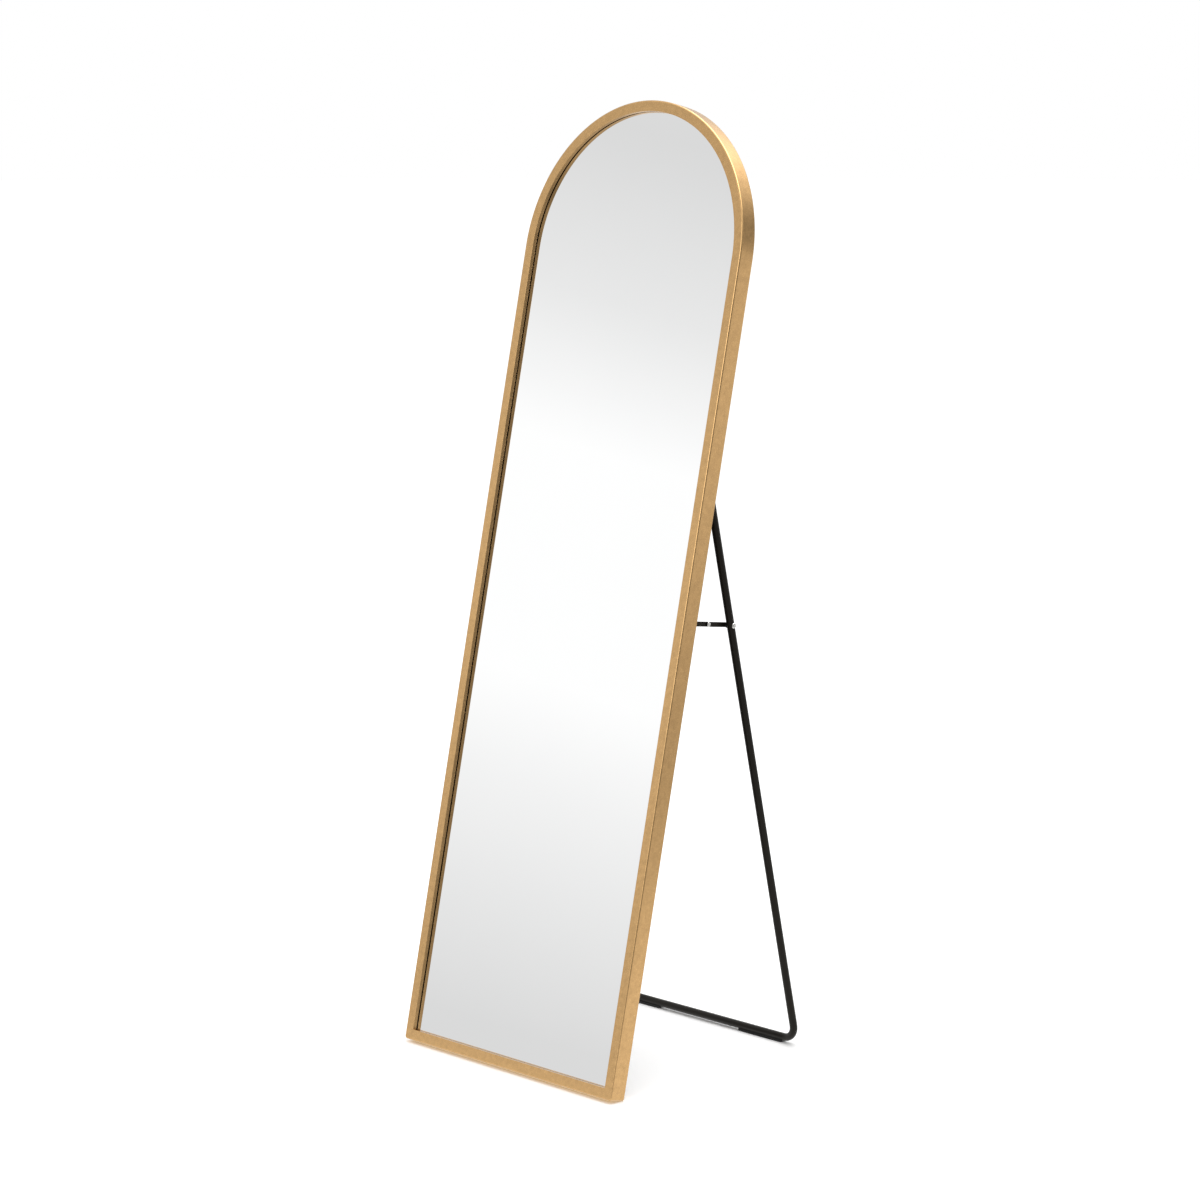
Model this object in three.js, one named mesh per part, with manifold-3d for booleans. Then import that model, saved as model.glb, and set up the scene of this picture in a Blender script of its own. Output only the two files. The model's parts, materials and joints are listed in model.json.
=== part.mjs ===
// Leaning arched floor mirror with a folding tubular stand.
//
// Millimetres, +Z up, -Y towards the viewer. The origin is the middle of the footprint,
// on the floor. Everything that belongs to the frame is drawn upright in the frame's own
// axes (x across, y back from the front face, z up from the underside) and then leant back.

import * as THREE from 'three';
import { mergeVertices } from 'three/addons/utils/BufferGeometryUtils.js';
import Module from 'manifold-3d';

const wasm = await Module();
wasm.setup();

const degrees = THREE.MathUtils.degToRad;

// ---------------------------------------------------------------- driving dimensions

// Frame: one extruded section, bent for the arch and cut for the rails.
const frameWidth = 500;
const frameHeight = 1600;
const frameDepth = 31;
const faceWidth = 18;
const lipDepth = 7;
const webWidth = 9;
const sectionWall = 1.4;
const outerEdgeRadius = 2.5;
const innerEdgeRadius = 1;
const leanAngle = degrees( 12.1 );

// Clearances.
const seatGap = 0.3;
const paneEdgeGap = 1;
const foldGap = 1.5;
const tubeSideGap = 0.5;

// Glazing stack, front to back.
const glassThickness = 4;
const foamThickness = 2;
const boardThickness = 3;

// Keys that hold the frame sections together.
const cornerKeyLeg = 60;
const joinerKeyReach = 32;

// Clips that hold the backing board.
const clipWidth = 18;
const clipReach = 14;
const clipRise = 11;
const clipThickness = 1.2;
const clipScrewRise = 6.6;
const bottomClipOffset = 130;
const archClipAngle = degrees( 52 );

// Screws.
const screwHeadRadius = 3.6;
const screwHeadHeight = 2.2;
const screwShankRadius = 1.9;
const screwGrip = 4;
const screwTipLength = 1.6;

// Stand: one tube bent to a U.
const tubeRadius = 6.5;
const tubeWall = 1.2;
const legInset = 26.5;
const legTilt = degrees( 12.7 );
const legTopReach = 12;
const bendRadius = 28;
const hingeHeight = 982;
const plugHeadHeight = 2;
const plugStemLength = 5;
const plugChamfer = 0.8;

// Rubber pads that the crossbar of the stand rests on.
const footPadLength = 100;
const footPadHeight = 2.5;
const footPadWidth = 10;
const footPadWrap = degrees( 50 );
const footPadLip = 1.8;

// Brackets of bent sheet, seated behind the board against the side rails.
const bracketSheet = 1.8;
const bracketHeight = 40;
const bracketWallRise = 11.5;
const bracketScrewSpacing = 26;
const earWidth = 15;

// Hinge pins.
const hingePinRadius = 3;
const hingePinHeadRadius = 4.5;
const hingePinHeadHeight = 2;

// Folding stays: two flat links each.
const stayDrop = 230;
const stayLinkDifference = 13;
const linkWidth = 8;
const linkThickness = 1.8;
const washerRadius = 5;
const rivetRadius = 2.2;
const rivetHeadRadius = 4;
const rivetHeadHeight = 1.1;
const legRivetHeadRadius = 4.4;
const legRivetHeadHeight = 2;

// Fineness of the curves.
const archSegments = 96;
const paneSegments = 24;
const filletSegments = 2;
const tubeSides = 16;
const bendSegments = 8;
const padSegments = 4;
const pinSides = 12;
const screwSides = 10;

// ---------------------------------------------------------------- derived places

const halfWidth = frameWidth / 2;
const springHeight = frameHeight - halfWidth;
const webFace = halfWidth - webWidth;
const chamberWidth = webWidth - 2 * sectionWall;
const chamberDepth = frameDepth - 2 * sectionWall;

const glassFront = lipDepth + seatGap;
const foamFront = glassFront + glassThickness + seatGap;
const boardFront = foamFront + foamThickness + seatGap;
const boardBack = boardFront + boardThickness;
const hardwareSeat = boardBack + seatGap;
const wallSeat = webFace - seatGap;

const legX = halfWidth - legInset;
const tubeInnerSide = legX - tubeRadius;
const tubeOuterSide = legX + tubeRadius;
const hingeSetback = frameDepth + tubeRadius + foldGap;

// The washer between leg and link is thick enough for the leg to fold past the knuckle rivet.
const washerThickness = rivetHeadHeight + seatGap;
const washerFace = tubeInnerSide - seatGap - washerThickness;
const legLinkFace = washerFace - seatGap;
const frameLinkFace = legLinkFace - linkThickness - seatGap;
const stayEarFace = frameLinkFace - linkThickness - seatGap;
const rivetHoleRadius = rivetRadius + seatGap;
const hingeHoleRadius = hingePinRadius + seatGap;
const screwHoleRadius = screwShankRadius + seatGap;

// ---------------------------------------------------------------- materials

function finish( color, roughness, metalness ) {

	return new THREE.MeshStandardMaterial( { color, roughness, metalness, flatShading: true } );

}

const brushedGold = finish( 0xc8a06e, 0.35, 0.9 );
const mirrorFinish = finish( 0xf0f2f2, 0.02, 1 );
const blackCoating = finish( 0x24201b, 0.45, 0.3 );
const zincPlate = finish( 0xb9bbbd, 0.35, 0.9 );
const boardFinish = finish( 0x4a4640, 0.85, 0 );
const foamFinish = finish( 0xe8e8e4, 0.95, 0 );
const nylon = finish( 0x1c1c1c, 0.6, 0 );
const rubber = finish( 0x181818, 0.9, 0 );

// ---------------------------------------------------------------- solid tools

// Shared corners only, with the slivers at lathe poles left out.
function welded( geometry ) {

	const bare = geometry.clone();
	bare.deleteAttribute( 'normal' );
	bare.deleteAttribute( 'uv' );
	bare.clearGroups();
	const merged = mergeVertices( bare, 1e-4 );
	const source = merged.index.array;
	const kept = [];
	for ( let i = 0; i < source.length; i += 3 ) {

		const [ a, b, c ] = [ source[ i ], source[ i + 1 ], source[ i + 2 ] ];
		if ( a !== b && b !== c && c !== a ) kept.push( a, b, c );

	}

	merged.setIndex( kept );
	return merged;

}

function toManifold( geometry ) {

	const merged = welded( geometry );
	const vertProperties = new Float32Array( merged.attributes.position.array );
	const triVerts = new Uint32Array( merged.index.array );
	return new wasm.Manifold( new wasm.Mesh( { numProp: 3, vertProperties, triVerts } ) );

}

function toGeometry( manifold ) {

	const mesh = manifold.getMesh();
	const geometry = new THREE.BufferGeometry();
	const positions = new Float32Array( mesh.vertProperties );
	geometry.setAttribute( 'position', new THREE.BufferAttribute( positions, 3 ) );
	geometry.setIndex( Array.from( mesh.triVerts ) );
	return geometry;

}

function joined( geometry, ...others ) {

	const solids = others.map( toManifold );
	return toGeometry( solids.reduce( ( all, other ) => all.add( other ), toManifold( geometry ) ) );

}

function cut( geometry, ...tools ) {

	const solids = tools.map( toManifold );
	return toGeometry( solids.reduce( ( left, tool ) => left.subtract( tool ), toManifold( geometry ) ) );

}

// The same solid on the other side of the middle plane, its faces turned back outwards.
function mirrored( geometry ) {

	const copy = welded( geometry ).scale( - 1, 1, 1 );
	const source = copy.index.array;
	const turned = [];
	for ( let i = 0; i < source.length; i += 3 ) turned.push( source[ i ], source[ i + 2 ], source[ i + 1 ] );
	copy.setIndex( turned );
	return copy;

}

function block( x0, x1, y0, y1, z0, z1 ) {

	const box = new THREE.BoxGeometry( x1 - x0, y1 - y0, z1 - z0 );
	return box.translate( ( x0 + x1 ) / 2, ( y0 + y1 ) / 2, ( z0 + z1 ) / 2 );

}

function rodAlongX( radius, x0, x1, y, z, sides ) {

	const rod = new THREE.CylinderGeometry( radius, radius, x1 - x0, sides );
	return rod.rotateZ( - Math.PI / 2 ).translate( ( x0 + x1 ) / 2, y, z );

}

// A turned piece on the x axis; the profile is a list of [ x, radius ] from end to end.
function turnedAlongX( profile, sides ) {

	const points = profile.map( ( [ x, radius ] ) => new THREE.Vector2( radius, x ) );
	return new THREE.LatheGeometry( points, sides ).rotateZ( - Math.PI / 2 );

}

// A flat plate drawn in the y-z plane and given its thickness along x.
function plateAcrossX( shape, x0, x1, curveSegments ) {

	const plate = new THREE.ExtrudeGeometry( shape, { depth: x1 - x0, bevelEnabled: false, curveSegments } );
	const turn = new THREE.Matrix4().makeBasis(
		new THREE.Vector3( 0, 1, 0 ),
		new THREE.Vector3( 0, 0, 1 ),
		new THREE.Vector3( 1, 0, 0 )
	);
	return plate.applyMatrix4( turn ).translate( x0, 0, 0 );

}

function roundHole( x, y, radius ) {

	return new THREE.Path().absarc( x, y, radius, 0, 2 * Math.PI, true );

}

// ---------------------------------------------------------------- frame section

// The section lies at x from -faceWidth (towards the glass) to 0 (outer face).
function sectionOutline() {

	const shape = new THREE.Shape();
	const [ outer, inner ] = [ outerEdgeRadius, innerEdgeRadius ];
	shape.moveTo( - webWidth, frameDepth );
	shape.lineTo( - webWidth, lipDepth );
	shape.lineTo( - faceWidth, lipDepth );
	shape.lineTo( - faceWidth, inner );
	shape.absarc( - faceWidth + inner, inner, inner, Math.PI, 1.5 * Math.PI, false );
	shape.lineTo( - outer, 0 );
	shape.absarc( - outer, outer, outer, 1.5 * Math.PI, 2 * Math.PI, false );
	shape.lineTo( 0, frameDepth - outer );
	shape.absarc( - outer, frameDepth - outer, outer, 0, 0.5 * Math.PI, false );
	shape.closePath();
	return shape;

}

function sectionChamber() {

	const wall = sectionWall;
	return [
		new THREE.Vector2( - wall, wall ),
		new THREE.Vector2( - wall, frameDepth - wall ),
		new THREE.Vector2( - webWidth + wall, frameDepth - wall ),
		new THREE.Vector2( - webWidth + wall, lipDepth - wall ),
		new THREE.Vector2( - faceWidth + wall, lipDepth - wall ),
		new THREE.Vector2( - faceWidth + wall, wall ),
	];

}

// A straight hollow length of the section, its outer face at x = halfWidth.
function straightSection( z0, z1 ) {

	const shape = sectionOutline();
	shape.holes.push( new THREE.Path( sectionChamber() ) );
	const settings = { depth: z1 - z0, bevelEnabled: false, curveSegments: filletSegments };
	return new THREE.ExtrudeGeometry( shape, settings ).translate( halfWidth, 0, z0 );

}

function ring( sectionPoints ) {

	const loop = sectionPoints.map( ( p ) => new THREE.Vector2( halfWidth + p.x, p.y ) );
	const closed = loop[ 0 ].equals( loop[ loop.length - 1 ] ) ? loop : [ ...loop, loop[ 0 ].clone() ];
	return new THREE.LatheGeometry( closed, archSegments );

}

// Everything on one side of the mitre plane at a bottom corner.
function mitreBlock( side ) {

	const reach = 4 * faceWidth + frameDepth;
	const toPlane = halfWidth / Math.SQRT2 + side * seatGap / 2;
	const box = new THREE.BoxGeometry( reach, reach, reach ).translate( 0, 0, - side * reach / 2 );
	const alongPlane = halfWidth * Math.SQRT1_2;
	box.translate( alongPlane, frameDepth / 2, toPlane );
	return box.rotateY( Math.PI / 4 );

}

// ---------------------------------------------------------------- hardware sites

// A site is a point on the middle line of the frame and the way outwards from it.
const sideSite = ( z ) => ( { x: 0, z, angle: 0 } );
const bottomSite = ( x ) => ( { x, z: halfWidth, angle: - Math.PI / 2 } );
const archSite = ( angle ) => ( { x: 0, z: springHeight, angle } );

function atSite( geometry, site ) {

	return geometry.clone().rotateY( - site.angle ).translate( site.x, 0, site.z );

}

// The stays' brackets sit below the hinges, so that the links fold down along the frame.
const stayPivotDrop = stayDrop - stayLinkDifference;
const stayHeight = hingeHeight - stayPivotDrop;
const bracketScrewOffsets = [ - bracketScrewSpacing / 2, bracketScrewSpacing / 2 ];
const sideClipHeights = [ stayHeight / 2, ( hingeHeight + springHeight ) / 2 ];

// A clip is flat, and its corners keep the seat gap to the bent wall of the arch.
const clipSeat = Math.sqrt( wallSeat ** 2 - ( clipWidth / 2 ) ** 2 );
const clipScrewDepth = hardwareSeat + clipScrewRise;
const bracketScrewDepth = hardwareSeat + bracketWallRise / 2 + bracketSheet / 2;

// The drilled hole in a rail's inner wall, drawn at height zero on the right-hand side.
function railHole( depth ) {

	const [ x0, x1 ] = [ webFace - seatGap, webFace + sectionWall + seatGap ];
	return rodAlongX( screwHoleRadius, x0, x1, depth, 0, screwSides );

}

// A screw driven outwards along +x; seat is the face that its head is driven against.
function screw( seat, depth ) {

	const under = seat - seatGap;
	const top = under - screwHeadHeight;
	const tip = webFace + sectionWall + screwGrip;
	return turnedAlongX( [
		[ top, 0 ],
		[ top, 0.6 * screwHeadRadius ],
		[ top + 0.45 * screwHeadHeight, screwHeadRadius ],
		[ under, screwHeadRadius ],
		[ under, screwShankRadius ],
		[ tip - screwTipLength, screwShankRadius ],
		[ tip, 0.3 * screwShankRadius ],
		[ tip, 0 ],
	], screwSides ).translate( 0, depth, 0 );

}

// ---------------------------------------------------------------- frame pieces

function sideRail() {

	const blank = straightSection( 0, springHeight - seatGap );
	const holes = sideClipHeights.map( ( z ) => railHole( clipScrewDepth ).translate( 0, 0, z ) );
	for ( const dz of bracketScrewOffsets ) {

		holes.push( railHole( bracketScrewDepth ).translate( 0, 0, hingeHeight + dz ) );
		holes.push( railHole( bracketScrewDepth ).translate( 0, 0, stayHeight + dz ) );

	}

	return cut( blank, mitreBlock( 1 ), ...holes );

}

function bottomRail() {

	const blank = straightSection( - halfWidth, halfWidth ).translate( - halfWidth, 0, 0 );
	const alongX = blank.rotateY( Math.PI / 2 );
	const offsets = [ - bottomClipOffset, bottomClipOffset ];
	const clipHoles = offsets.map( ( x ) => atSite( railHole( clipScrewDepth ), bottomSite( x ) ) );
	return cut( alongX, mitreBlock( - 1 ), mirrored( mitreBlock( - 1 ) ), ...clipHoles );

}

function archRail() {

	const outline = sectionOutline().getPoints( filletSegments );
	const solidRing = ring( outline );
	const chamberRing = ring( sectionChamber() );
	const reach = frameWidth;
	const lowerHalf = block( - reach, reach, - reach, reach, - reach, 0 );
	const lifted = cut( solidRing, chamberRing, lowerHalf ).translate( 0, 0, springHeight );
	const angles = [ archClipAngle, Math.PI - archClipAngle ];
	return cut( lifted, ...angles.map( ( a ) => atSite( railHole( clipScrewDepth ), archSite( a ) ) ) );

}

// An L of solid bar in the hollow of a bottom corner.
function cornerKey() {

	const out = sectionWall + seatGap;
	const inn = out + chamberWidth - 2 * seatGap;
	const [ y0, y1 ] = [ out, out + chamberDepth - 2 * seatGap ];
	const upright = block( halfWidth - inn, halfWidth - out, y0, y1, out, out + cornerKeyLeg );
	const flat = block( halfWidth - out - cornerKeyLeg, halfWidth - out, y0, y1, out, inn );
	return joined( upright, flat );

}

// A key across the joint of arch and side rail: straight below it and bent above it.
function joinerKey() {

	const out = sectionWall + seatGap;
	const inn = out + chamberWidth - 2 * seatGap;
	const [ y0, y1 ] = [ out, out + chamberDepth - 2 * seatGap ];
	const foot = springHeight - joinerKeyReach;
	const straight = block( halfWidth - inn, halfWidth - out, y0, y1, foot, springHeight );
	const section = [
		new THREE.Vector2( - inn, y1 ),
		new THREE.Vector2( - inn, y0 ),
		new THREE.Vector2( - out, y0 ),
		new THREE.Vector2( - out, y1 ),
	];
	const reach = frameWidth;
	const below = block( - reach, reach, - reach, reach, - reach, 0 );
	const above = block( - reach, reach, - reach, reach, joinerKeyReach, reach );
	const leftSide = block( - reach, 0, - reach, reach, - reach, reach );
	const bent = cut( ring( section ), below, above, leftSide ).translate( 0, 0, springHeight );
	return joined( straight, bent );

}

// Glass, foam and board are the same arch-topped sheet in three thicknesses.
function archedSheet( y0, thickness ) {

	const half = webFace - paneEdgeGap;
	const foot = webWidth + paneEdgeGap;
	const shape = new THREE.Shape();
	shape.moveTo( - half, - foot );
	shape.lineTo( - half, - springHeight );
	shape.absarc( 0, - springHeight, half, Math.PI, 2 * Math.PI, false );
	shape.lineTo( half, - foot );
	shape.closePath();
	const settings = { depth: thickness, bevelEnabled: false, curveSegments: paneSegments };
	return new THREE.ExtrudeGeometry( shape, settings ).rotateX( - Math.PI / 2 ).translate( 0, y0, 0 );

}

// ---------------------------------------------------------------- clips and brackets

function boardClip() {

	const half = clipWidth / 2;
	const [ y0, inner ] = [ hardwareSeat, clipSeat - clipThickness ];
	const foot = block( clipSeat - clipReach, clipSeat, y0, y0 + clipThickness, - half, half );
	const wall = block( inner, clipSeat, y0, y0 + clipRise, - half, half );
	const [ x0, x1 ] = [ inner - clipThickness, clipSeat + clipThickness ];
	const hole = rodAlongX( screwHoleRadius, x0, x1, clipScrewDepth, 0, screwSides );
	return cut( joined( foot, wall ), hole );

}

// A tongue that stands up from the bracket's base and carries a pin near its round end.
function ear( x0, holeRadius ) {

	const half = earWidth / 2;
	const shape = new THREE.Shape();
	shape.moveTo( hardwareSeat, half );
	shape.lineTo( hardwareSeat, - half );
	shape.lineTo( hingeSetback, - half );
	shape.absarc( hingeSetback, 0, half, - Math.PI / 2, Math.PI / 2, false );
	shape.closePath();
	shape.holes.push( roundHole( hingeSetback, 0, holeRadius ) );
	return plateAcrossX( shape, x0, x0 + bracketSheet, pinSides / 2 );

}

// Base and screwed wall of a bracket, from an ear's inner face out to the side rail.
function bracketBase( innerX ) {

	const half = bracketHeight / 2;
	const base = block( innerX, wallSeat, hardwareSeat, hardwareSeat + bracketSheet, - half, half );
	const top = hardwareSeat + bracketWallRise;
	const wall = block( wallSeat - bracketSheet, wallSeat, hardwareSeat, top, - half, half );
	const [ x0, x1 ] = [ wallSeat - 2 * bracketSheet, wallSeat + bracketSheet ];
	const drill = ( z ) => rodAlongX( screwHoleRadius, x0, x1, bracketScrewDepth, z, screwSides );
	const holes = bracketScrewOffsets.map( drill );
	return cut( joined( base, wall ), ...holes );

}

const hingeInnerEarX = tubeInnerSide - tubeSideGap - bracketSheet;
const hingeOuterEarX = tubeOuterSide + tubeSideGap;
const stayEarX = stayEarFace - bracketSheet;

function hingeBracket() {

	const ears = [ ear( hingeInnerEarX, hingeHoleRadius ), ear( hingeOuterEarX, hingeHoleRadius ) ];
	return joined( bracketBase( hingeInnerEarX ), ...ears );

}

function stayBracket() {

	return joined( bracketBase( stayEarX ), ear( stayEarX, rivetHoleRadius ) );

}

// A pin headed at both ends; grip is the stretch between the two heads.
function headedPin( x0, x1, radius, headRadius, innerHead, outerHead ) {

	return turnedAlongX( [
		[ x0 - innerHead, 0 ],
		[ x0 - innerHead, 0.7 * headRadius ],
		[ x0 - 0.4 * innerHead, headRadius ],
		[ x0, headRadius ],
		[ x0, radius ],
		[ x1, radius ],
		[ x1, headRadius ],
		[ x1 + 0.4 * outerHead, headRadius ],
		[ x1 + outerHead, 0.7 * headRadius ],
		[ x1 + outerHead, 0 ],
	], pinSides );

}

function hingePin() {

	const x0 = hingeInnerEarX - seatGap;
	const x1 = hingeOuterEarX + bracketSheet + seatGap;
	return headedPin( x0, x1, hingePinRadius, hingePinHeadRadius, hingePinHeadHeight, hingePinHeadHeight );

}

function stayPin() {

	const x0 = stayEarX - seatGap;
	const x1 = frameLinkFace + seatGap;
	return headedPin( x0, x1, rivetRadius, rivetHeadRadius, rivetHeadHeight, rivetHeadHeight );

}

// ---------------------------------------------------------------- stand

// Angles between frame, legs and floor when the stand is open.
const sectionFoot = straightSection( 0, 1 ).attributes.position;
let lowest = Infinity;
let foremost = Infinity;
for ( let i = 0; i < sectionFoot.count; i ++ ) {

	const across = halfWidth - sectionFoot.getX( i );
	const back = sectionFoot.getY( i );
	lowest = Math.min( lowest, across * Math.cos( leanAngle ) - back * Math.sin( leanAngle ) );
	foremost = Math.min( foremost, across * Math.sin( leanAngle ) + back * Math.cos( leanAngle ) );

}

const frameLift = - lowest;
const hingeRise = hingeHeight * Math.cos( leanAngle ) - hingeSetback * Math.sin( leanAngle ) + frameLift;
const legLength = ( hingeRise - tubeRadius - footPadHeight ) / Math.cos( legTilt );
const spreadAngle = leanAngle + legTilt;
const hingeBack = hingeHeight * Math.sin( leanAngle ) + hingeSetback * Math.cos( leanAngle );
const hindmost = hingeBack + legLength * Math.sin( legTilt ) + tubeRadius;

// A path through given points; the sweep puts one ring at each of them.
class StationPath extends THREE.Curve {

	constructor( stations ) {

		super();
		this.stations = stations;

	}

	stationAt( u ) {

		return this.stations[ Math.round( u * ( this.stations.length - 1 ) ) ];

	}

	getPointAt( u, target = new THREE.Vector3() ) {

		return target.copy( this.stationAt( u ).point );

	}

	getTangentAt( u, target = new THREE.Vector3() ) {

		return target.copy( this.stationAt( u ).tangent );

	}

}

// Down one leg, round the corner, and so on over to the top of the other leg.
function standStations() {

	const stations = [];
	const add = ( x, z, angle ) => stations.push( {
		point: new THREE.Vector3( x, 0, z ),
		tangent: new THREE.Vector3( Math.cos( angle ), 0, Math.sin( angle ) )
	} );
	add( - legX, legTopReach, - Math.PI / 2 );
	for ( const side of [ - 1, 1 ] ) {

		const start = side < 0 ? - Math.PI / 2 : 0;
		for ( let i = 0; i <= bendSegments; i ++ ) {

			const angle = start + ( i / bendSegments ) * Math.PI / 2;
			const centreX = side * ( legX - bendRadius );
			const centreZ = - legLength + bendRadius;
			add( centreX + bendRadius * Math.sin( angle ), centreZ - bendRadius * Math.cos( angle ), angle );

		}

	}

	add( legX, legTopReach, Math.PI / 2 );
	return stations;

}

function standTube() {

	const stations = standStations();
	const section = new THREE.Shape().absarc( 0, 0, tubeRadius, 0, 2 * Math.PI, false );
	section.holes.push( roundHole( 0, 0, tubeRadius - tubeWall ) );
	const blank = new THREE.ExtrudeGeometry( section, {
		steps: stations.length - 1,
		extrudePath: new StationPath( stations ),
		bevelEnabled: false,
		curveSegments: tubeSides / 2
	} );
	const [ x0, x1 ] = [ tubeInnerSide - tubeRadius, tubeOuterSide + tubeRadius ];
	const hingeHole = rodAlongX( hingeHoleRadius, x0, x1, 0, 0, pinSides );
	const stayHole = rodAlongX( rivetHoleRadius, x0, x1, 0, - stayDrop, pinSides );
	return cut( blank, hingeHole, stayHole, mirrored( hingeHole ), mirrored( stayHole ) );

}

function tubePlug() {

	const stemRadius = tubeRadius - tubeWall - seatGap;
	const under = legTopReach + seatGap;
	const profile = [
		[ under - plugStemLength, 0 ],
		[ under - plugStemLength, stemRadius - plugChamfer ],
		[ under - plugStemLength + plugChamfer, stemRadius ],
		[ under, stemRadius ],
		[ under, tubeRadius ],
		[ under + 0.5 * plugHeadHeight, tubeRadius ],
		[ under + plugHeadHeight, 0.6 * tubeRadius ],
		[ under + plugHeadHeight, 0 ],
	];
	return turnedAlongX( profile, tubeSides ).rotateY( - Math.PI / 2 ).translate( legX, 0, 0 );

}

// A strip under one end of the crossbar, hollowed to its round and level when the stand is open.
function footPad() {

	const half = footPadWidth / 2;
	const sole = - tubeRadius - footPadHeight;
	const [ inner, outer ] = [ tubeRadius + seatGap, tubeRadius + footPadLip ];
	const [ across, down ] = [ Math.sin( footPadWrap ), - Math.cos( footPadWrap ) ];
	const [ rightEnd, leftEnd ] = [ footPadWrap - Math.PI / 2, - footPadWrap - Math.PI / 2 ];
	const shape = new THREE.Shape();
	shape.moveTo( - half, sole );
	shape.lineTo( half, sole );
	shape.lineTo( outer * across, outer * down );
	shape.lineTo( inner * across, inner * down );
	shape.absarc( 0, 0, inner, rightEnd, leftEnd, true );
	shape.lineTo( - outer * across, outer * down );
	shape.closePath();
	const bendStart = legX - bendRadius;
	const strip = plateAcrossX( shape, bendStart - footPadLength, bendStart, padSegments );
	return strip.rotateX( - legTilt ).translate( 0, 0, - legLength );

}

// ---------------------------------------------------------------- stays

// Open, the two links of a stay lie in one straight line from the frame to the leg.
const stayRun = stayDrop * Math.sin( spreadAngle );
const stayClimb = stayPivotDrop - stayDrop * Math.cos( spreadAngle );
const stayReach = Math.hypot( stayRun, stayClimb );
const stayAngle = Math.atan2( stayClimb, stayRun );
const frameLinkLength = ( stayReach + stayLinkDifference ) / 2;
const legLinkLength = ( stayReach - stayLinkDifference ) / 2;

// A flat link from its own pivot at y = 0 to the next pivot at y = length.
function stayLink( length, outerFace ) {

	const half = linkWidth / 2;
	const shape = new THREE.Shape();
	shape.moveTo( 0, - half );
	shape.lineTo( length, - half );
	shape.absarc( length, 0, half, - Math.PI / 2, Math.PI / 2, false );
	shape.lineTo( 0, half );
	shape.absarc( 0, 0, half, Math.PI / 2, 1.5 * Math.PI, false );
	shape.holes.push( roundHole( 0, 0, rivetHoleRadius ), roundHole( length, 0, rivetHoleRadius ) );
	return plateAcrossX( shape, outerFace - linkThickness, outerFace, pinSides / 2 );

}

function knuckleRivet() {

	const x0 = frameLinkFace - linkThickness - seatGap;
	const x1 = legLinkFace + seatGap;
	return headedPin( x0, x1, rivetRadius, rivetHeadRadius, rivetHeadHeight, rivetHeadHeight );

}

// The rivet through the leg. Its inner end stops at the washer, just short of the link.
function legRivet() {

	const under = tubeOuterSide + seatGap;
	return turnedAlongX( [
		[ washerFace, 0 ],
		[ washerFace, rivetRadius ],
		[ under, rivetRadius ],
		[ under, legRivetHeadRadius ],
		[ under + 0.4 * legRivetHeadHeight, legRivetHeadRadius ],
		[ under + 0.8 * legRivetHeadHeight, 0.75 * legRivetHeadRadius ],
		[ under + legRivetHeadHeight, 0.35 * legRivetHeadRadius ],
		[ under + legRivetHeadHeight, 0 ],
	], pinSides );

}

function legWasher() {

	const shape = new THREE.Shape().absarc( 0, 0, washerRadius, 0, 2 * Math.PI, false );
	shape.holes.push( roundHole( 0, 0, rivetHoleRadius ) );
	return plateAcrossX( shape, washerFace, washerFace + washerThickness, pinSides / 2 );

}

// ---------------------------------------------------------------- assembly

function place( group, name, geometry, material ) {

	const mesh = new THREE.Mesh( welded( geometry ), material );
	mesh.name = name;
	group.add( mesh );
	return mesh;

}

// The same piece on both sides of the middle plane.
function placePair( group, name, geometry, material ) {

	place( group, name + '_right', geometry, material );
	place( group, name + '_left', mirrored( geometry ), material );

}

const mirrorAssembly = new THREE.Group();

const frame = new THREE.Group();
frame.rotation.x = - leanAngle;
frame.position.set( 0, - ( foremost + hindmost ) / 2, frameLift );
mirrorAssembly.add( frame );

place( frame, 'frame_arch', archRail(), brushedGold );
placePair( frame, 'frame_rail', sideRail(), brushedGold );
place( frame, 'frame_rail_bottom', bottomRail(), brushedGold );
placePair( frame, 'corner_key', cornerKey(), zincPlate );
placePair( frame, 'joiner_key', joinerKey(), zincPlate );

place( frame, 'mirror_glass', archedSheet( glassFront, glassThickness ), mirrorFinish );
place( frame, 'foam_sheet', archedSheet( foamFront, foamThickness ), foamFinish );
place( frame, 'backing_board', archedSheet( boardFront, boardThickness ), boardFinish );

const clipSites = {};
for ( const [ i, z ] of sideClipHeights.entries() ) clipSites[ 'side_' + ( i + 1 ) ] = sideSite( z );
clipSites.bottom = bottomSite( bottomClipOffset );
clipSites.arch = archSite( archClipAngle );
for ( const [ where, site ] of Object.entries( clipSites ) ) {

	const clipScrew = screw( clipSeat - clipThickness, clipScrewDepth );
	placePair( frame, 'board_clip_' + where, atSite( boardClip(), site ), zincPlate );
	placePair( frame, 'clip_screw_' + where, atSite( clipScrew, site ), zincPlate );

}

const brackets = { hinge: [ hingeHeight, hingeBracket() ], stay: [ stayHeight, stayBracket() ] };
for ( const [ name, [ z, geometry ] ] of Object.entries( brackets ) ) {

	placePair( frame, name + '_bracket', geometry.translate( 0, 0, z ), blackCoating );
	for ( const [ i, dz ] of bracketScrewOffsets.entries() ) {

		const bracketScrew = screw( wallSeat - bracketSheet, bracketScrewDepth ).translate( 0, 0, z + dz );
		placePair( frame, name + '_screw_' + ( i + 1 ), bracketScrew, zincPlate );

	}

}

placePair( frame, 'hinge_pin', hingePin().translate( 0, hingeSetback, hingeHeight ), zincPlate );
placePair( frame, 'stay_pin', stayPin().translate( 0, hingeSetback, stayHeight ), zincPlate );

const stand = new THREE.Group();
stand.position.set( 0, hingeSetback, hingeHeight );
stand.rotation.x = spreadAngle;
frame.add( stand );

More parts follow.
